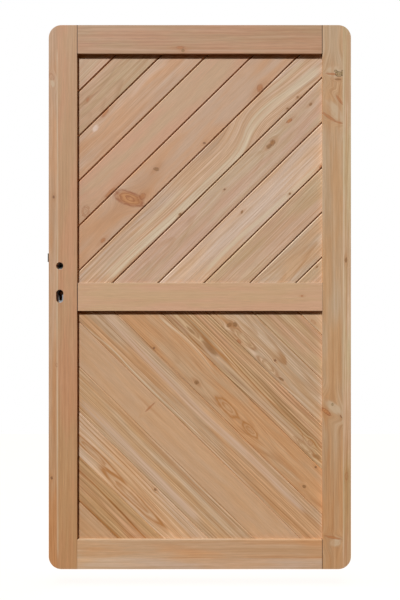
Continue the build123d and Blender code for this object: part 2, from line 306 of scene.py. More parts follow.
# %% [markdown]
# ## Planed softwood
#
# The finish is bare Douglas-fir-like softwood, straight off the planer: matt, salmon to honey, with a silky
# fibre and no varnish. A single brown would look like plastic, so a board's colour comes from six layers: a
# slow drift of tone along it, narrow bands that follow the rings, the rings themselves, threads between
# them, a fine fibre, and the knots. Every layer but the knots multiplies the board's own tone, so the board
# keeps that tone on average. Rings and fibre also give the faint relief and the uneven gloss that planing
# leaves.

# %% The group that turns rings and fibres into wood
DRIFT_PATCH, BAND_PATCH, ZONE_PATCH = (230, 40, 40), (420, 25, 9), (900, 60, 26)
FLECK_PATCH, THREAD_PATCH, FIBRE_PATCH = (60, 6, 3.4), (260, 5, 2.6), (45, 0.9, 0.9)
BAND_DARK, BAND_LIGHT = (0.92, 0.86, 0.77, 1.0), (1.07, 1.12, 1.18, 1.0)
THREAD_TINT = (0.16, 0.21, 0.28)


def in_patches(tree, place, patch):
    """A place measured in patches, sized in millimetres along, through and across."""
    return add(tree, "vector over", place, [length * millimetre for length in patch])


def timber_group():
    """Colour, late wood and fibre of bare wood without its knots."""
    tree, given = new_group(
        "planed softwood",
        {**LOG, "Wood": COLOUR, "Drift Tint": VECTOR, "Late Tint": VECTOR, "Lines": FLOAT, "Bands": FLOAT},
        {"Colour": COLOUR, "Late Wood": FLOAT, "Fibre": FLOAT})
    seed, lines = given["Seed"], given["Lines"]
    rings = add(tree, "group", {socket: given[socket] for socket in LOG}, node_tree=log_rings).node.outputs
    flowing = add(tree, "vector times", given["Place"], (1.0, 1.0, 0.0))
    flowing = add(tree, "vector plus", flowing, add(tree, "join", {"Z": rings["Across"]}))

    drift = add(tree, "noise", in_patches(tree, flowing, DRIFT_PATCH), seed, 1.0)
    other_tint = add(tree, "vector minus", (2.0, 2.0, 2.0), given["Drift Tint"])
    tint = add(tree, "blend", add(tree, "ramp", drift, 0.36, 0.64), other_tint, given["Drift Tint"])
    colour = add(tree, "vector times", given["Wood"], tint)

    bands = add(tree, "noise", in_patches(tree, flowing, BAND_PATCH), seed, 1.0, 3.0, 0.55)
    flecks = add(tree, "noise", in_patches(tree, flowing, FLECK_PATCH), seed, 1.0)
    bands = add(tree, "plus", add(tree, "times", bands, 0.7), add(tree, "times", flecks, 0.3))
    tint = add(tree, "blend", add(tree, "ramp", bands, 0.38, 0.62), BAND_DARK, BAND_LIGHT)
    colour = add(tree, "vector times", colour, add(tree, "blend", given["Bands"], WHITE, tint))

    zone = add(tree, "noise", in_patches(tree, flowing, ZONE_PATCH), add(tree, "plus", seed, 3.0), 1.0)
    line = add(tree, "times", rings["Late Wood"], lines)
    line = add(tree, "times", line, add(tree, "ramp", zone, 0.4, 0.6, 0.45, 1.0))
    colour = add(tree, "blend", line, colour, add(tree, "vector times", colour, given["Late Tint"]))
    lightened = add(tree, "straight ramp", lines, 0.0, 1.0, 1.0, 1.06)

    fibre = in_patches(tree, given["Place"], FIBRE_PATCH)
    fibre = add(tree, "noise", fibre, 1.0, 3.0, 0.65, noise_dimensions="3D")
    shade = add(tree, "times", add(tree, "ramp", fibre, 0.25, 0.75, 0.89, 1.11), lightened)
    threads = add(tree, "noise", in_patches(tree, flowing, THREAD_PATCH), seed, 1.0, 1.0)
    threads = add(tree, "times", add(tree, "ramp", threads, 0.32, 0.68, -1.0, 1.0), lines)
    tint = add(tree, "vector plus", add(tree, "scale", THREAD_TINT, threads), (1.0, 1.0, 1.0))
    colour = add(tree, "scale", add(tree, "vector times", colour, tint), shade)
    add(tree, "NodeGroupOutput", {"Colour": colour, "Late Wood": rings["Late Wood"], "Fibre": fibre})
    return tree


timber = timber_group()
print("planed softwood:", len(timber.nodes), "nodes")

# %% [markdown]
# ## The sawyer's choices
#
# No two boards of the leaf came from the same place in a log. Each one gets its own record: the tone of its
# wood, where the log's heart lay, how wide the rings are and how strongly they show. A heart straight
# behind the face gives flames, one off to the side gives straight lines. Tones come from one short palette
# of named woods, and two short lists say which way a tone drifts along the board and how dark its late wood
# is.

# %% Tones and cuts of the boards
TONES = {
    "salmon": "D0A583", "rose": "D0A989", "straw": "C49F7B", "cream": "CDAA8D", "pale": "D9B699",
    "fawn": "CDAA89", "tan": "C9A37D", "wheat": "D1A67F", "honey": "CC9E74", "russet": "C79D75",
    "amber": "C29469", "copper": "C79770", "ochre": "C59063", "clay": "CA9C76", "flint": "D0B08B",
    "resin": "C6976C", "sand": "C79D74", "brick": "C19572", "butter": "D5AA85", "sap": "E2CDAE",
    "bright": "F0DCBC", "flame": "B8783F", "umber": "8A552E", "blush": "DBB99F", "oat": "CBA682",
    "tawny": "C89F79", "biscuit": "CE9E75", "peach": "D6AF8B",
}
DRIFTS = {"pink": (1.03, 0.97, 0.975), "olive": (0.97, 1.01, 0.97), "orange": (1.02, 0.94, 0.84),
          "grey": (0.97, 1.02, 1.10), "calm": (1.015, 0.99, 0.95)}
LATE = {"soft": (0.84, 0.72, 0.57), "brown": (0.76, 0.59, 0.42), "bold": (0.70, 0.49, 0.27)}

# The log's heart lies so far across the board and so far behind its face, and it dives along the board.
Cut = namedtuple("Cut", "tone seed foot drift late across behind dive ring lines bands wander")
PLAIN = dict(foot=None, drift="pink", late="soft", across=20, behind=110, dive=0.02, ring=5.0, lines=0.25,
             bands=0.6, wander=22)


def cut(tone, seed, **changes):
    """A board's record, its lengths in millimetres: a plain cut with the changes that the photo shows."""
    return Cut(tone, seed, **{**PLAIN, **changes})


BOARDS = {
    "upper_board_01": cut("rose", 1.3, lines=0.4),
    "upper_board_02": cut(
        "straw", 2.1, drift="olive", late="brown", across=-30, behind=60, dive=0.08, ring=7.0, lines=0.5,
        bands=0.8, wander=34),
    "upper_board_03": cut("salmon", 3.7, drift="orange", across=120, ring=7.5, bands=0.8),
    "upper_board_04": cut("salmon", 4.9, behind=160, lines=0.03, bands=0.2),
    "upper_board_05": cut("salmon", 5.2, drift="orange", behind=160, lines=0.03, bands=0.2),
    "upper_board_06": cut(
        "cream", 6.4, drift="grey", across=160, ring=6.0, lines=0.7, bands=1.0, wander=10),
    "upper_board_07": cut("cream", 7.7, drift="olive", behind=90, dive=0.05, lines=0.4, bands=0.8),
    "upper_board_08": cut("pale", 8.5, drift="grey", across=-90, lines=0.45, bands=0.9),
    "upper_board_09": cut(
        "fawn", 9.6, drift="olive", late="brown", across=120, ring=7.0, lines=0.45, bands=0.9, wander=16),
    "upper_board_10": cut(
        "fawn", 10.8, drift="orange", late="brown", across=-10, behind=60, dive=0.06, ring=7.0, lines=0.5),
    "upper_board_11": cut("fawn", 11.2, ring=6.0, lines=0.5),
    "lower_board_01": cut("peach", 12.1, ring=6.0, lines=0.4),
    "lower_board_02": cut(
        "oat", 13.4, drift="olive", late="brown", across=150, ring=6.0, lines=0.8, bands=1.1, wander=8),
    "lower_board_03": cut(
        "oat", 14.6, drift="grey", late="brown", across=8, behind=60, dive=0.05, ring=7.0, lines=0.9,
        bands=0.9, wander=30),
    "lower_board_04": cut(
        "russet", 15.3, late="bold", across=-110, behind=60, dive=0.012, ring=8.5, lines=1.6, bands=0.7,
        wander=10),
    "lower_board_05": cut(
        "honey", 16.8, drift="orange", late="brown", across=-26, behind=60, dive=0.05, ring=8.0, lines=0.5,
        wander=30),
    "lower_board_06": cut(
        "tawny", 17.5, drift="orange", late="brown", across=150, ring=6.5, lines=0.9, bands=1.1, wander=8),
    "lower_board_07": cut("wheat", 18.9, drift="calm", behind=160, lines=0.08, bands=0.4),
    "lower_board_08": cut(
        "tan", 19.7, drift="grey", late="bold", across=150, ring=6.5, lines=0.8, bands=1.1, wander=8),
    "lower_board_09": cut(
        "peach", 20.2, drift="grey", late="bold", across=-22, behind=50, ring=8.0, lines=0.85, bands=0.8,
        wander=20),
    "lower_board_10": cut(
        "amber", 21.6, drift="olive", late="bold", across=-20, behind=60, ring=8.0, lines=1.0, bands=0.9,
        wander=24),
    "lower_board_11": cut("honey", 22.4, drift="calm", lines=0.2),
}
print(len(BOARDS), "boards in", len(TONES), "tones")

# %% [markdown]
# ## Where the knots and streaks are
#
# Knots and streaks are what a person recognises a board by, so the strongest ones stand where the
# photograph shows them. A knot has its middle as a pixel, a half length along the grain and a half width in
# millimetres, and a turn in degrees. A streak of sapwood or resin follows a path through the pixels that it
# passes. Where the whole grain bends with a streak, the board is listed as flowing with it.

# %% Knots and streaks
Knot = namedtuple("Knot", "pixel half_length half_width turn kind")
Streak = namedtuple("Streak", "half_width tone amount path")
Kind = namedtuple("Kind", "core_colour rim_colour core rim halo parting years", defaults=[0.0])

KNOT_KINDS = {
    "red": Kind("BD7E4E", "A25E36", 0.85, 0.6, 0.3, 0.6),
    "amber": Kind("CC8F5A", "A05C32", 0.95, 0.8, 0.3, 0.8, 2.6),
    "dark": Kind("A37549", "7A5230", 0.95, 0.7, 0.35, 0.7),
    "pin": Kind("8E6040", "76502F", 0.9, 0.6, 0.3, 0.5),
    "swirl": Kind("CDA27A", "A8663A", 0.15, 0.55, 0.1, 0.85, 2.5),
    "flame": Kind("DEBD94", "A86E3A", 0.5, 0.7, 0.0, 0.6, 1.5),
    "vee": Kind("D6AC84", "B87A40", 0.3, 0.8, 0.0, 0.6, 1.9),
    "gloss": Kind("ECD0BE", "E0C0A8", 0.85, 0.3, 0.0, 0.5),
    "burr": Kind("D3B593", "C79E78", 0.85, 0.3, 0.0, 0.6),
    "tip": Kind("A87A4E", "96683E", 0.85, 0.5, 0.0, 0.3),
    "moss": Kind("B5965E", "57400F", 0.5, 0.8, 0.0, 0.5, 1.7),
}

KNOTS = {
    "upper_board_02": [((87.7, 99.6), 8, 4, 20, "red")],
    "upper_board_03": [((105, 113), 18, 7, 10, "red"), ((95.5, 128.4), 14, 9, 10, "gloss")],
    "upper_board_04": [((110, 192.3), 22, 5, 0, "red"), ((85.8, 211), 18, 12, 40, "swirl")],
    "upper_board_05": [
        ((129.5, 198.5), 50, 22, -65, "amber"), ((142.8, 196.5), 11, 10, 0, "red"),
        ((156.2, 169), 9, 6, -60, "dark"), ((259.9, 88), 13, 9, 30, "red"), ((103, 240.4), 9, 6, 0, "red"),
        ((204.3, 143), 5, 4, -50, "pin")],
    "upper_board_06": [
        ((180, 214.2), 5, 4, 0, "dark"), ((297.7, 97.1), 4, 3.5, 0, "dark"),
        ((287.4, 108.6), 3.5, 3, 0, "dark")],
    "upper_board_07": [
        ((272.5, 142.6), 10, 8, 20, "dark"), ((268.9, 146.3), 9, 6, 0, "dark"),
        ((289.4, 120.8), 11, 5, -10, "amber"), ((310.7, 104.2), 6, 4, 10, "dark"),
        ((224.5, 189.4), 4, 3, 0, "pin")],
    "upper_board_08": [
        ((241.9, 211.9), 6, 3.5, 20, "dark"), ((289.8, 193.7), 4, 3.5, 0, "dark"),
        ((321, 166.7), 7, 5, 0, "red")],
    "upper_board_11": [((317, 266.9), 4, 3, 0, "dark")],
    "lower_board_01": [((313.5, 322), 10, 5, 0, "swirl")],
    "lower_board_03": [
        ((229.2, 325), 9, 6, 80, "dark"), ((235, 324.5), 8, 6, 0, "dark"), ((239, 341.5), 9, 5, 0, "red"),
        ((275.1, 360.4), 4, 4, 0, "pin"), ((281.2, 379), 10, 4, 10, "dark"),
        ((243, 338), 55, 12, 0, "flame"), ((268, 366), 50, 9, 0, "flame")],
    "lower_board_04": [
        ((182, 321), 130, 17, 0, "flame"), ((305, 447), 45, 9, 0, "flame"),
        ((310.3, 443), 9, 7, 0, "swirl"), ((210, 348.5), 34, 8, 0, "tip"), ((191, 330.5), 20, 4, 0, "tip"),
        ((318, 457), 12, 6, 0, "tip")],
    "lower_board_05": [
        ((196.6, 382.4), 7, 6, 0, "dark"), ((228, 408), 50, 15, 0, "vee"), ((250, 430), 36, 12, 0, "vee"),
        ((304.2, 486.5), 6, 5, 0, "dark"), ((315.7, 467.1), 3.5, 3.5, 0, "pin"),
        ((154, 348), 4, 4, 0, "pin")],
    "lower_board_07": [((150.1, 407.1), 22, 3, 88, "red")],
    "lower_board_09": [
        ((155.2, 489.7), 5, 4, 0, "dark"), ((94, 453), 120, 12, 0, "vee"), ((132, 497), 140, 16, 0, "vee")],
    "lock_stile": [
        ((51.5, 77), 12, 8, 20, "swirl"), ((53.6, 197), 5, 3.5, 0, "pin"), ((56.6, 365), 6, 4, 0, "swirl"),
        ((51.7, 478), 5, 4, 0, "pin"), ((52.5, 83.5), 14, 8, 20, "burr")],
    "hinge_stile": [
        ((334, 71.5), 24, 26, 0, "burr"), ((332.5, 74), 20, 3.5, 85, "red"),
        ((338.6, 74), 11, 8, 90, "moss"), ((336, 71.3), 6, 4, 60, "moss"), ((342.3, 73), 9, 4, 0, "moss"),
        ((338, 79.3), 3, 9, 0, "dark"), ((335, 111), 50, 19, 37, "burr"), ((329, 117), 26, 5, 55, "red"),
        ((339.5, 100), 20, 4, 35, "red"), ((339, 122.5), 14, 2.5, 75, "red"), ((346, 260), 8, 4, 0, "dark"),
        ((333, 407), 44, 17, 52, "burr"), ((326, 411.5), 20, 6, 50, "amber"),
        ((332.5, 404.5), 4, 3, 0, "moss"), ((341, 416.6), 6, 2, 35, "pin"),
        ((336, 542), 16, 20, 20, "burr"), ((333, 537.5), 28, 4, 78, "red"),
        ((346.5, 476), 12, 5, 0, "swirl")],
    "top_rail": [((180, 47.5), 12, 5, 0, "red"), ((183, 50.5), 5, 5, 0, "dark")],
    "middle_rail": [((302, 296), 4, 3, 0, "red")],
}

FLOWING = {"upper_board_06"}
STREAKS = {
    "upper_board_02": [(4, "umber", 0.18, [(117, 64.5), (108, 79), (94, 90)])],
    "upper_board_03": [
        (9, "blush", 0.6, [(168, 62), (148, 76), (130, 97)]),
        (15, "flame", 0.2, [(178, 76), (125, 126), (83, 161)])],
    "upper_board_04": [(3, "bright", 0.9, [(201, 61), (143, 118), (80, 179.5)])],
    "upper_board_05": [(3, "umber", 0.3, [(118, 193), (129, 198.5), (137, 202)])],
    "upper_board_06": [
        (17, "sap", 0.8, [(320, 66), (297, 85), (271, 105), (259, 116), (250.5, 128), (244, 143),
            (235, 157), (223.5, 169), (196, 195), (171, 220), (152, 236), (128.5, 257), (107.5, 278)]),
        (3, "flame", 0.6, [(205, 181), (175, 208), (155.8, 226), (126.2, 253), (108, 269)]),
        (4, "bright", 0.6, [(320, 71), (275, 106), (256, 126), (238, 158), (196, 198), (150, 241),
            (111, 278)]),
        (8, "sap", 0.5, [(305, 60), (283, 80), (262, 98)]),
        (8, "sap", 0.5, [(190, 183), (160, 212), (132, 240), (98, 274)])],
    "upper_board_08": [
        (9, "sap", 0.6, [(317, 168), (287, 196), (263, 217.5), (235.5, 241), (205, 272)]),
        (8, "blush", 0.4, [(318, 137), (279, 174), (239.5, 209.5), (180, 268)])],
    "lower_board_04": [
        (7, "cream", 0.8, [(163, 308), (176, 321), (190, 336)]),
        (14, "fawn", 0.9, [(203, 345), (229.6, 371), (253.3, 394), (275, 415), (300.8, 440), (314, 453)]),
        (3, "flame", 0.9, [(219, 351), (244, 376), (262, 394), (278, 408), (290, 420), (301, 432),
            (305, 444)])],
    "lower_board_05": [(5, "bright", 0.5, [(160, 317), (185, 338), (200, 354), (214, 372)])],
    "lower_board_06": [
        (14, "blush", 0.7, [(105, 314), (150, 362), (200, 412), (240, 448), (305, 512)]),
        (3, "sap", 0.7, [(82, 324), (112, 349), (134, 372), (158, 396), (200, 436)]),
        (4, "flame", 0.35, [(82, 328), (112, 354), (134, 377), (158, 401), (196, 437)])],
    "lower_board_08": [
        (9, "flame", 0.4, [(84, 378), (140, 431), (205, 497), (240, 532)]),
        (16, "blush", 0.75, [(80, 399), (140, 461), (200, 521)])],
    "lock_stile": [(3, "sap", 0.55, [(57.3, 50), (57.6, 200), (57.3, 320), (57.6, 560)])],
    "hinge_stile": [
        (9, "sand", 0.9, [(347.5, 28), (347.5, 60), (347.5, 106)]),
        (2.5, "sap", 0.35, [(343.2, 50), (343.4, 200), (343.2, 320), (343.4, 560)]),
        (2.5, "flame", 0.3, [(346.5, 50), (346.2, 200), (346.5, 320), (346.2, 560)])],
    "top_rail": [(4, "rose", 0.5, [(85, 49), (200, 50.5), (315, 50)])],
    "bottom_rail": [(12, "amber", 0.6, [(225, 550), (270, 550), (320, 550)])],
}
print(sum(map(len, KNOTS.values())), "knots and", sum(map(len, STREAKS.values())), "streaks")

# %% [markdown]
# ## The axes of a board
#
# A texture that follows the grain needs to know which way it runs, and the boards run aslant. Turning each
# board upright would do, but a CAD node's mesh stays where it is. So the middle and the length of a board
# are measured along its slope, and a place in the photograph is carried into the same axes.

# %% Find a board's own axes
board_slope = radians(44.4)
Axes = namedtuple("Axes", "middle turn half depth")


def grain_axes(name, slope, depth):
    """The middle of a node, its turn, its half sizes along, through and across, and how far back it lies."""
    turn = Matrix.Rotation(-slope, 3, "Y")
    points = [turn.transposed() @ vertex.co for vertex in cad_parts[name].data.vertices]
    low = Vector(min(p[i] for p in points) for i in range(3))
    high = Vector(max(p[i] for p in points) for i in range(3))
    return Axes(turn @ ((low + high) / 2), turn, (high - low) / 2, depth)


def on_board(pixel, axes):
    """Where a pixel of the photograph falls in the board's own axes."""
    return axes.turn.transposed() @ (place_in_photo(pixel, axes.depth) - axes.middle)


print("the longest board:", round(2 * grain_axes("upper_board_06", board_slope, 0.0).half.x, 3), "m")

# %% [markdown]
# ## Streaks and branches
#
# Pale sapwood and dark resin run along a board in streaks that wander with the trunk. Noise would put them
# anywhere, so each path is a curve node, which says how far across the board the streak lies at each
# distance along it. The branch of a knot is laid over them at its own place.

# %% Lay the streaks and the branches
shown_width = 400 * millimetre
streak_overrun, streak_fade = 15 * millimetre, 50 * millimetre
STREAK_PATCH = (220, 1000, 3.2)


def knot_values(knot, axes):
    """The inputs that both groups of a knot share."""
    centre = on_board(knot.pixel, axes)
    return {"Centre": (centre.x, 0.0, centre.z), "Turn": radians(knot.turn),
            "Half Size": (knot.half_length * millimetre, 1.0, knot.half_width * millimetre)}


def across_path(tree, place, streak, axes):
    """How far across the board a streak's path lies, at this distance along it."""
    points = sorted(tuple(on_board(pixel, axes).xz) for pixel in streak.path)
    reach = axes.half.x * 1.05
    along = add(tree, "straight ramp", add(tree, "split", place), -reach, reach)
    curve = add(tree, "ShaderNodeFloatCurve", {"Value": along}).node
    line = curve.mapping.curves[0]
    stops = [((x + reach) / (2 * reach), 0.5 + z / shown_width) for x, z in points]
    line.points[0].location = (0.0, stops[0][1])
    line.points[1].location = (1.0, stops[-1][1])
    for x, z in stops:
        line.points.new(x, z)
    curve.mapping.update()
    return add(tree, "times", add(tree, "minus", curve.outputs[0], 0.5), shown_width)


def lay_streak(tree, colour, place, streak, axes, seed):
    """A streak of sapwood or resin along its path, in threads of uneven strength."""
    split = add(tree, "split", place).node.outputs
    offset = add(tree, "minus", split["Z"], across_path(tree, place, streak, axes))
    core, reach = 0.3 * streak.half_width * millimetre, 1.3 * streak.half_width * millimetre
    amount = add(tree, "ramp", add(tree, "absolute", offset), core, reach, streak.amount, 0.0)
    ends = sorted(on_board(pixel, axes).x for pixel in (streak.path[0], streak.path[-1]))
    start, end = ends[0] - streak_overrun, ends[1] + streak_overrun
    fade = hill(tree, split["X"], (start, start + streak_fade), (end - streak_fade, end))
    beside = add(tree, "join", {"X": split["X"], "Z": offset})
    threads = add(tree, "noise", in_patches(tree, beside, STREAK_PATCH), seed, 1.0)
    fade = add(tree, "times", fade, add(tree, "ramp", threads, 0.38, 0.56, 0.3, 1.0))
    return add(tree, "blend", add(tree, "times", amount, fade), colour, linear(TONES[streak.tone]))


def lay_branch(tree, colour, place, knot, axes):
    """One knot over the wood."""
    kind = KNOT_KINDS[knot.kind]
    values = {
        "Place": place, "Colour": colour, "Core Colour": linear(kind.core_colour),
        "Rim Colour": linear(kind.rim_colour), "Halo Colour": linear(TONES["flame"]), "Core": kind.core,
        "Rim": kind.rim, "Halo": kind.halo, "Years": kind.years, "Seed": knot.pixel[0]}
    return add(tree, "group", {**values, **knot_values(knot, axes)}, node_tree=branch)


print("a streak's path may lie", round(shown_width / 2 / millimetre), "mm off a board's middle")

# %% [markdown]
# ## One material for each piece of timber
#
# One material for all boards would run the same rings through them, as if the leaf were cut from one plank,
# so each board gets its own from its record. A Mapping node turns object coordinates into the board's axes.
# Knots go right through the board, as branches do. A member glued from two pieces of log gets two sets of
# rings with the joint between them, and each knot stays in its own piece.

# %% Build a timber material from its record
glue_blur = 0.4 * millimetre
relief_depth = 0.15 * millimetre
fibre_relief = 0.35
early_roughness, late_roughness = 0.62, 0.52
TONE_CHANGE = (-0.85, -0.05)


def new_material(title):
    """A material; returns it with its tree and the inputs of its shader."""
    material = bpy.data.materials.new(title)
    material.use_nodes = True
    return material, material.node_tree, material.node_tree.nodes["Principled BSDF"].inputs


def log_wood(tree, place, record, half_length):
    """The wood group set to one piece of log; returns its outputs.

    Towards the foot, or towards the left end of a rail, its tone may change.
    """
    tone = linear(TONES[record.tone])
    if record.foot:
        ends = [share * half_length for share in TONE_CHANGE]
        change = add(tree, "ramp", add(tree, "split", place), *ends)
        tone = add(tree, "blend", change, linear(TONES[record.foot]), tone)
    values = {
        "Place": place, "Heart": (0.0, record.behind * millimetre, record.across * millimetre),
        "Lean": (0.0, record.dive, 0.0), "Ring Width": record.ring * millimetre,
        "Wander": record.wander * millimetre, "Seed": record.seed, "Wood": tone,
        "Drift Tint": DRIFTS[record.drift], "Late Tint": LATE[record.late], "Lines": record.lines,
        "Bands": record.bands}
    return add(tree, "group", values, node_tree=timber).node.outputs


def piece_of_log(tree, name, place, record, knots, streaks, axes):
    """One piece of log with its streaks and knots: its colour, its late wood and its fibre."""
    bent = place
    for knot in knots:
        values = {"Place": bent, "Parting": KNOT_KINDS[knot.kind].parting, **knot_values(knot, axes)}
        bent = add(tree, "group", values, node_tree=parted_grain)
    if name in FLOWING:
        flow = across_path(tree, place, streaks[0], axes)
        bent = add(tree, "vector minus", bent, add(tree, "join", {"Z": flow}))
    wood = log_wood(tree, bent, record, axes.half.x)
    colour = wood["Colour"]
    for streak in streaks:
        colour = lay_streak(tree, colour, place, streak, axes, record.seed)
    for knot in knots:
        colour = lay_branch(tree, colour, place, knot, axes)
    return colour, wood["Late Wood"], wood["Fibre"]


def timber_material(name, slope, record, depth=0.0, second=None, glue_line=0.0):
    """Planed softwood with the rings, streaks and knots of one piece, whose face lies at a depth.

    A second record is the lamella beyond the glue line, which is in millimetres from the member's middle.
    """
    axes = grain_axes(name, slope, depth)
    glue = glue_line * millimetre
    material, tree, shader = new_material("Planed Douglas fir, " + name)
    where = add(tree, "coordinates").node.outputs["Object"]
    place = add(tree, "ShaderNodeMapping", {"Vector": where, "Location": axes.middle,
                                            "Rotation": Euler((0, -slope, 0))}, vector_type="TEXTURE")
    near, far = [], []
    for knot in [Knot(*row) for row in KNOTS.get(name, ())]:
        is_far = second and on_board(knot.pixel, axes).z > glue
        (far if is_far else near).append(knot)
    streaks = [Streak(*row) for row in STREAKS.get(name, ())]
    colour, late, fibre = piece_of_log(tree, name, place, record, near, streaks, axes)
    if second:
        other = piece_of_log(tree, name, place, second, far, streaks, axes)[0]
        across = add(tree, "split", place).node.outputs["Z"]
        beyond = add(tree, "straight ramp", across, glue - glue_blur, glue + glue_blur)
        colour = add(tree, "blend", beyond, colour, other)
    relief = add(tree, "plus", add(tree, "times", fibre, fibre_relief), late)
    bump = add(tree, "ShaderNodeBump", {"Height": relief, "Strength": 0.25, "Distance": relief_depth})
    tree.links.new(colour, shader["Base Color"])
    tree.links.new(add(tree, "ramp", late, 0.0, 1.0, early_roughness, late_roughness), shader["Roughness"])
    tree.links.new(bump, shader["Normal"])
    return material


def tint_surface(material, tint_of):
    """Multiplies a finished colour by what tint_of makes of the object coordinates."""
    tree = material.node_tree
    wood = tree.nodes["Principled BSDF"].inputs["Base Color"]
    colour = wood.links[0].from_socket
    where = add(tree, "split", add(tree, "coordinates").node.outputs["Object"]).node.outputs
    tree.links.new(add(tree, "vector times", colour, tint_of(tree, where)), wood)


print("the wood's roughness:", late_roughness, "to", early_roughness)

# %% [markdown]
# ## Painted shade and highlights on the boards
#
# The boards carry painted light. Their colour is darkened as painted shade in the corner just above a
# rail and deep in the joints, and lightened as a painted highlight on the chamfers beside the joints, more
# in the upper field. All three depend only on where a point lies: its height above the rail, or its depth
# below the face of the board.

# %% Dress the boards
board_low, board_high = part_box("upper_board_06")
board_depth = board_low.y - front
board_half = (board_high.y - board_low.y) / 2
seats = {"upper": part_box("middle_rail")[1].z, "lower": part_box("bottom_rail")[1].z}
# Painted highlight on the chamfers beside the joints, stronger in the upper field.
chamfer_painted_highlight = {"upper": 1.16, "lower": 1.06}
chamfer_foot = board_half - 2.5 * millimetre
painted_shade_height = 22 * millimetre
# Painted shade: these tints darken the corner just above a rail and the bottoms of the joints.
CORNER_PAINTED_SHADE, JOINT_PAINTED_SHADE = (0.84, 0.84, 0.86, 1.0), (0.62, 0.46, 0.34, 1.0)


def finish_node(name, material):
    """Gives a CAD node its finish."""
    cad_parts[name].material_slots[0].material = material


def painted_light_on_boards(seat, light):
    """Painted shade above a rail at the height seat and in joints; painted highlight light on the chamfers.
    """
    def tint_of(tree, where):
        height = add(tree, "straight ramp", where["Z"], seat, seat + painted_shade_height)
        # Painted shade in the corner just above the rail, fading out over painted_shade_height.
        corner = add(tree, "blend", height, CORNER_PAINTED_SHADE, WHITE)
        level = add(tree, "absolute", add(tree, "minus", where["Y"], board_low.y + board_half))
        face = board_half - 0.3 * millimetre, board_half - 0.1 * millimetre
        # Painted highlight: everything more than 0.3 mm below the face, mainly the chamfers, is lightened.
        painted_highlight = add(tree, "ramp", level, *face, light, 1.0)
        joint = chamfer_foot - 1.5 * millimetre, chamfer_foot + 0.2 * millimetre
        # Painted shade deep in the joints, below the chamfers.
        painted_joint_shade = add(tree, "blend", add(tree, "ramp", level, *joint), JOINT_PAINTED_SHADE, WHITE)
        return add(tree, "scale", add(tree, "vector times", corner, painted_joint_shade), painted_highlight)
    return tint_of


for name, record in BOARDS.items():
    field = name.split("_")[0]
    slope = board_slope if field == "upper" else -board_slope
    finish = timber_material(name, slope, record, board_depth)
    # Painted light on each board: painted shade above its rail and in its joints, a painted highlight on its
    # chamfers.
    tint_surface(finish, painted_light_on_boards(seats[field], chamfer_painted_highlight[field]))
    finish_node(name, finish)
print("boards dressed:", len(BOARDS), "and they lie", round(board_depth / millimetre, 1), "mm back")

# %% [markdown]
# ## Stiles and rails
#
# The stiles and the bottom rail are glued up from two lamellae, which keeps wide softwood from cupping: the
# photograph shows the outer lamella of each stile and the lower one of the bottom rail in a wood of its
# own. Grain runs along the member, up the stiles and across the rails, so each has its own slope. At the
# shoulders of each rail a thin dark line is painted, as painted shade in the open joint, and the top arris
# of each rail is tinted paler and bluer, as a painted highlight.

# %% Dress the stiles and rails
MEMBERS = {
    "lock_stile": dict(
        record=cut("copper", 31.0, foot="ochre", across=-90, ring=6.0, lines=0.3, bands=0.5, wander=10),
        second=cut(
            "clay", 31.6, foot="ochre", drift="orange", late="brown", across=120, lines=0.4, bands=0.8,
            wander=8),
        glue_line=17.5),
    "hinge_stile": dict(
        record=cut(
            "flint", 32.0, foot="sand", drift="olive", late="brown", across=-120, lines=0.5, bands=0.9,
            wander=8),
        second=cut(
            "tan", 32.7, foot="resin", drift="orange", late="brown", across=90, lines=0.4, bands=0.7,
            wander=10),
        glue_line=-20.0),
    "top_rail": dict(
        record=cut("brick", 33.0, late="brown", across=120, ring=8.0, lines=0.35, wander=16)),
    "middle_rail": dict(
        record=cut("butter", 34.0, drift="olive", across=120, lines=0.15, bands=0.25, wander=8)),
    "bottom_rail": dict(
        record=cut("rose", 35.0, foot="peach", drift="grey", across=-120, lines=0.3, wander=8),
        second=cut("biscuit", 35.8, foot="wheat", drift="orange", across=120, lines=0.3, wander=12),
        glue_line=-12.5),
}
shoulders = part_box("lock_stile")[1].x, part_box("hinge_stile")[0].x
# Painted shade: widths in millimetres of the dark lines at the left and right shoulder of each rail.
PAINTED_SHADE_AT_SHOULDERS = {"top_rail": (1.4, 2.2), "middle_rail": (2.4, 0.5), "bottom_rail": (0.1, 1.8)}
# Tints of the painted shade at the shoulders and of the painted highlight on the top arris.
SHOULDER_PAINTED_SHADE, ARRIS_PAINTED_HIGHLIGHT = (0.14, 0.10, 0.07, 1.0), (0.90, 1.04, 1.16, 1.0)


def painted_light_on_rails(top, widths):
    """A rail's painted highlight on its top arris and painted shade lines of these widths at its shoulders.
    """
    def tint_of(tree, where):
        # Painted highlight: the top arris is tinted paler and bluer.
        arris = add(tree, "ramp", where["Z"], top - 1.2 * millimetre, top - 1.0 * millimetre)
        tint = add(tree, "blend", arris, WHITE, ARRIS_PAINTED_HIGHLIGHT)
        for shoulder, way, width in zip(shoulders, (1.0, -1.0), widths):
            away = add(tree, "times", add(tree, "minus", where["X"], shoulder), way)
            edge = width * millimetre
            # Painted shade: a dark line along each shoulder.
            outside_painted_shade = add(tree, "straight ramp", away, edge, edge + 0.5 * millimetre)
            tint = add(tree, "blend", outside_painted_shade, SHOULDER_PAINTED_SHADE, tint)
        return tint
    return tint_of


for name, member in MEMBERS.items():
    slope = radians(90) if name.endswith("stile") else 0.0
    finish = timber_material(name, slope, **member)
    if name in PAINTED_SHADE_AT_SHOULDERS:
        # Painted light on the rails: a painted highlight on the top arris and painted shade at the shoulders.
        tint_surface(finish, painted_light_on_rails(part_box(name)[1].z, PAINTED_SHADE_AT_SHOULDERS[name]))
    finish_node(name, finish)
print("members dressed:", ", ".join(MEMBERS))

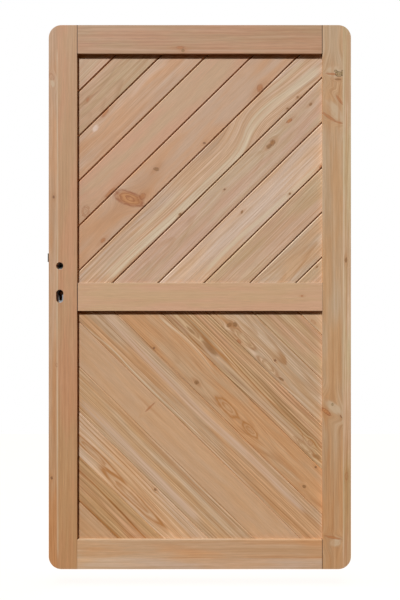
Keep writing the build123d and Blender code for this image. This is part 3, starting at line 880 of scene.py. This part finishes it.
# %% [markdown]
# ## The steel of the lock
#
# The lock is pressed from sheet steel and plated with zinc, which dulls to a soft blue-grey; its bolts and
# its follower are darker. They are true metals to the renderer: full metallic, a grey reflection colour and
# a middling roughness that small clouds vary, as plating does. Little of it shows, through the two holes
# and at the edge. The tray inside the lock is given a dark colour, as painted shade for the dark inside of
# the lock.

# %% Plate the steel
CLOUDS_A_METRE = 400.0


def steel_material(title, tone, roughness):
    """Plated steel whose tone and roughness vary in small clouds."""
    material, tree, shader = new_material(title)
    shader["Metallic"].default_value = 1.0
    where = add(tree, "coordinates").node.outputs["Object"]
    cloud = add(tree, "noise", where, 0.0, CLOUDS_A_METRE, 4.0)
    shade = add(tree, "ramp", cloud, 0.3, 0.7, 0.85, 1.08)
    tree.links.new(add(tree, "scale", linear(tone)[:3], shade), shader["Base Color"])
    uneven = add(tree, "ramp", cloud, 0.3, 0.7, roughness - 0.06, roughness + 0.08)
    tree.links.new(uneven, shader["Roughness"])
    return material


zinc = steel_material("Zinc plated sheet steel", "BFC6CC", 0.55)
bolt = steel_material("Dull nickel plated steel", "6A736F", 0.4)
# The tray inside the lock is darkened as painted shade.
inner_steel_painted_shade = steel_material("Sheet steel inside the lock, darkened as painted shade", "48443E", 0.5)
plating = {"lock_faceplate": zinc, "lock_case_cover": zinc, "lock_case": inner_steel_painted_shade, "dead_bolt": bolt,
           "latch_bolt": bolt, "follower": bolt}
for name, finish in plating.items():
    finish_node(name, finish)
print("steel pieces plated:", len(plating))

# %% [markdown]
# ## The faceplate's screws
#
# Two countersunk screws with a cross recess hold the faceplate in the edge of the stile. They are alike, so
# a Geometry Nodes tree makes one head, a cone with two crossed slots cut out, and sets a copy in each
# countersink. The copies become plain mesh before they are handed over, which the moving model needs.

# %% Drive the screws
plate_low, plate_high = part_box("lock_faceplate")
screw_inset = 10 * millimetre
screw_sizes = {
    "Low": plate_low.z + screw_inset, "High": plate_high.z - screw_inset,
    "Edge": plate_low.x + 2.0 * millimetre, "Head Radius": 4.0 * millimetre, "Neck Radius": 2.2 * millimetre,
    "Depth": 1.8 * millimetre, "Slot Width": 0.9 * millimetre}


def screw_nodes(material):
    """A tree that sets a screw head on each of two places along Z; its sizes are named inputs."""
    shape = {"Geometry": "NodeSocketGeometry"}
    group, given = new_group("countersunk screws", {**shape, **dict.fromkeys(screw_sizes, FLOAT)}, shape,
                             "GeometryNodeTree")
    cone = {"Vertices": 32, "Radius Top": given["Head Radius"], "Radius Bottom": given["Neck Radius"]}
    head = add(group, "GeometryNodeMeshCone", {**cone, "Depth": given["Depth"]})
    slot_length = add(group, "times", given["Head Radius"], 1.15)
    lift = add(group, "join", {"Z": given["Depth"]})
    for length, width in ((slot_length, given["Slot Width"]), (given["Slot Width"], slot_length)):
        bar = add(group, "GeometryNodeMeshCube", {"Size": add(group, "join", length, width, given["Depth"])})
        bar = add(group, "GeometryNodeTransform", {"Geometry": bar, "Translation": lift})
        head = add(group, "GeometryNodeMeshBoolean", {"Mesh 1": head, "Mesh 2": bar}, operation="DIFFERENCE")
    ends = [add(group, "join", {"X": given["Edge"], "Z": given[end]}) for end in ("Low", "High")]
    places = add(group, "GeometryNodeMeshLine", {"Count": 2, "Start Location": ends[0], "Offset": ends[1]},
                 mode="END_POINTS")
    heads = add(group, "GeometryNodeInstanceOnPoints", {"Points": places, "Instance": head,
                                                        "Rotation": Euler((0, radians(-90), 0))})
    solid = add(group, "GeometryNodeRealizeInstances", heads)
    solid = add(group, "GeometryNodeSetMaterial", {"Geometry": solid, "Material": material})
    add(group, "NodeGroupOutput", {"Geometry": solid})
    return group


tree = screw_nodes(zinc)
sockets = {item.name: item.identifier for item in tree.interface.items_tree if item.in_out == "INPUT"}
start = stand("screw start", bpy.data.meshes.new("screw start"))
modifier = start.modifiers.new("screws", "NODES")
modifier.node_group = tree
for socket, value in screw_sizes.items():
    modifier[sockets[socket]] = value
start.update_tag()
bpy.context.view_layer.update()
grown = bpy.data.meshes.new_from_object(start.evaluated_get(bpy.context.evaluated_depsgraph_get()))
bpy.data.objects.remove(start)
screws = stand("faceplate_screws", grown)
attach(screws, "gate")
print("screws:", len(grown.polygons), "faces")

# %% [markdown]
# ## The studio
#
# The leaf stands before a white backdrop. One lamp from the upper left gives the dark bands under the rails
# and beside the left stile, and the crisp joints of the upper field; a wide weak one from the left opens
# the joints of the lower field. What light reaches the shadows has come off wood, so the fill is warm. Two
# more lamps behind and beside the leaf only serve other views.

# %% Lamps
scene.view_settings.view_transform = "Standard"
front_light = 0.80
key_from = Vector((-0.44, -1.0, 1.13)).normalized()
left_from = Vector((-1.0, -0.18, 0.25)).normalized()
left_power = 0.9
left_share = left_power / pi * -left_from.y
warm_fill = (0.056, 0.022, 0.003)
glossy_fill = (0.05, 0.05, 0.05, 1.0)


def sun(name, towards, power, softness):
    """A distant lamp; towards points from the leaf to the lamp, and softness is in degrees."""
    lamp = bpy.data.lights.new(name, "SUN")
    lamp.energy = power
    lamp.angle = radians(softness)
    made = stand(name, lamp)
    made.rotation_mode = "QUATERNION"
    made.rotation_quaternion = Vector(towards).to_track_quat("Z", "Y")
    return made


key = sun("key light", key_from, power=front_light * pi / -key_from.y, softness=7)
key.data.color = [1 - (part + left_share) / front_light for part in warm_fill]
left = sun("left light", left_from, power=left_power, softness=40)
back = sun("back light", (0.55, 1.0, 0.7), power=2.4, softness=40)
side = sun("side light", (1.0, 0.12, 0.35), power=1.2, softness=30)
lamps = (key, left, back, side)

world = bpy.data.worlds.new("studio")
scene.world = world
world.use_nodes = True
sky = world.node_tree
sky.nodes.clear()
rays = add(sky, "ShaderNodeLightPath").node.outputs
fill = add(sky, "blend", rays["Is Glossy Ray"], warm_fill + (1.0,), glossy_fill)
backdrop = add(sky, "blend", rays["Is Camera Ray"], fill, WHITE)
add(sky, "ShaderNodeOutputWorld", {"Surface": add(sky, "ShaderNodeBackground", {"Color": backdrop})})
print("lamps:", [lamp.name for lamp in lamps])

# %% [markdown]
# ## The floor
#
# The floor is matt white and lies a little below the leaf, as for a piece hung up to be photographed. It
# has a lamp of its own from straight above, so that it stays white without throwing light up under the
# rails.

# %% Floor
floor_gap = 50 * millimetre
floor_half = 2.0
floor_mesh = bpy.data.meshes.new("studio_floor")
level = leaf_low.z - floor_gap
floor_mesh.from_pydata([(middle_x + x * floor_half, y * floor_half, level)
                        for x, y in ((-1, -1), (1, -1), (1, 1), (-1, 1))], [], [(0, 1, 2, 3)])
floor = stand("studio_floor", floor_mesh)
floor_paint, _, paint = new_material("Matt white floor paint")
paint["Base Color"].default_value = linear("F4F4F2")
paint["Roughness"].default_value = 0.9
floor_mesh.materials.append(floor_paint)
floor.visible_diffuse = False
floor.visible_glossy = False

only_floor = bpy.data.collections.new("only the floor")
only_floor.objects.link(floor)
not_floor = bpy.data.collections.new("all but the floor")
not_floor.objects.link(floor)
not_floor.collection_objects[0].light_linking.link_state = "EXCLUDE"
for lamp in lamps:
    lamp.light_linking.receiver_collection = not_floor
overhead = sun("floor light", (0, 0, 1), power=1.12 * pi, softness=60)
overhead.light_linking.receiver_collection = only_floor
overhead.light_linking.blocker_collection = only_floor
print("floor", round(floor_gap / millimetre), "mm below the leaf")
